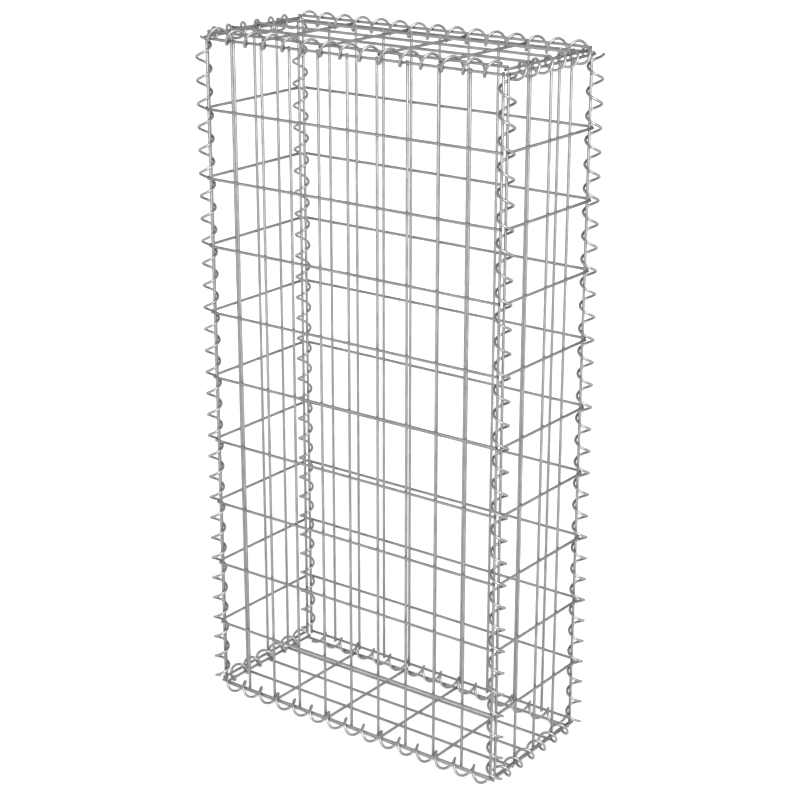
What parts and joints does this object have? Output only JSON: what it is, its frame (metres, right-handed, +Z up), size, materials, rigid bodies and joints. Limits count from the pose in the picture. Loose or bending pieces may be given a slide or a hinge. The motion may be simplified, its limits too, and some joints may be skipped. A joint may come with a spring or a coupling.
{
  "type": "gabion basket",
  "caption": "Empty gabion wall basket: a tall narrow cage of welded steel mesh with a lid and base, its edges laced by spiral wires, ready to be filled with stone.",
  "frame": {"origin": "centre of the footprint, on the ground under the base spirals", "axes": "+Z up, +Y towards the back, +X to the right when facing the front"},
  "size_m": [0.5368, 0.2356, 1.034],
  "materials": {
    "mesh_wire": "hot-dip galvanised wire, dull satin",
    "spiral_wire": "galvanised wire, satin with a bright streak"
  },
  "bodies": {
    "root": {"front_panel": "mesh_wire", "back_panel": "mesh_wire", "left_panel": "mesh_wire", "right_panel": "mesh_wire", "base_panel": "mesh_wire", "lid_cross_wires": "mesh_wire", "lid_long_wires": "mesh_wire", "front_left_spiral": "spiral_wire", "front_right_spiral": "spiral_wire", "back_left_spiral": "spiral_wire", "back_right_spiral": "spiral_wire", "lid_front_spiral": "spiral_wire", "lid_back_spiral": "spiral_wire", "lid_left_spiral": "spiral_wire", "lid_right_spiral": "spiral_wire", "base_front_spiral": "spiral_wire", "base_back_spiral": "spiral_wire", "base_left_spiral": "spiral_wire", "base_right_spiral": "spiral_wire"}
  },
  "joints": []
}
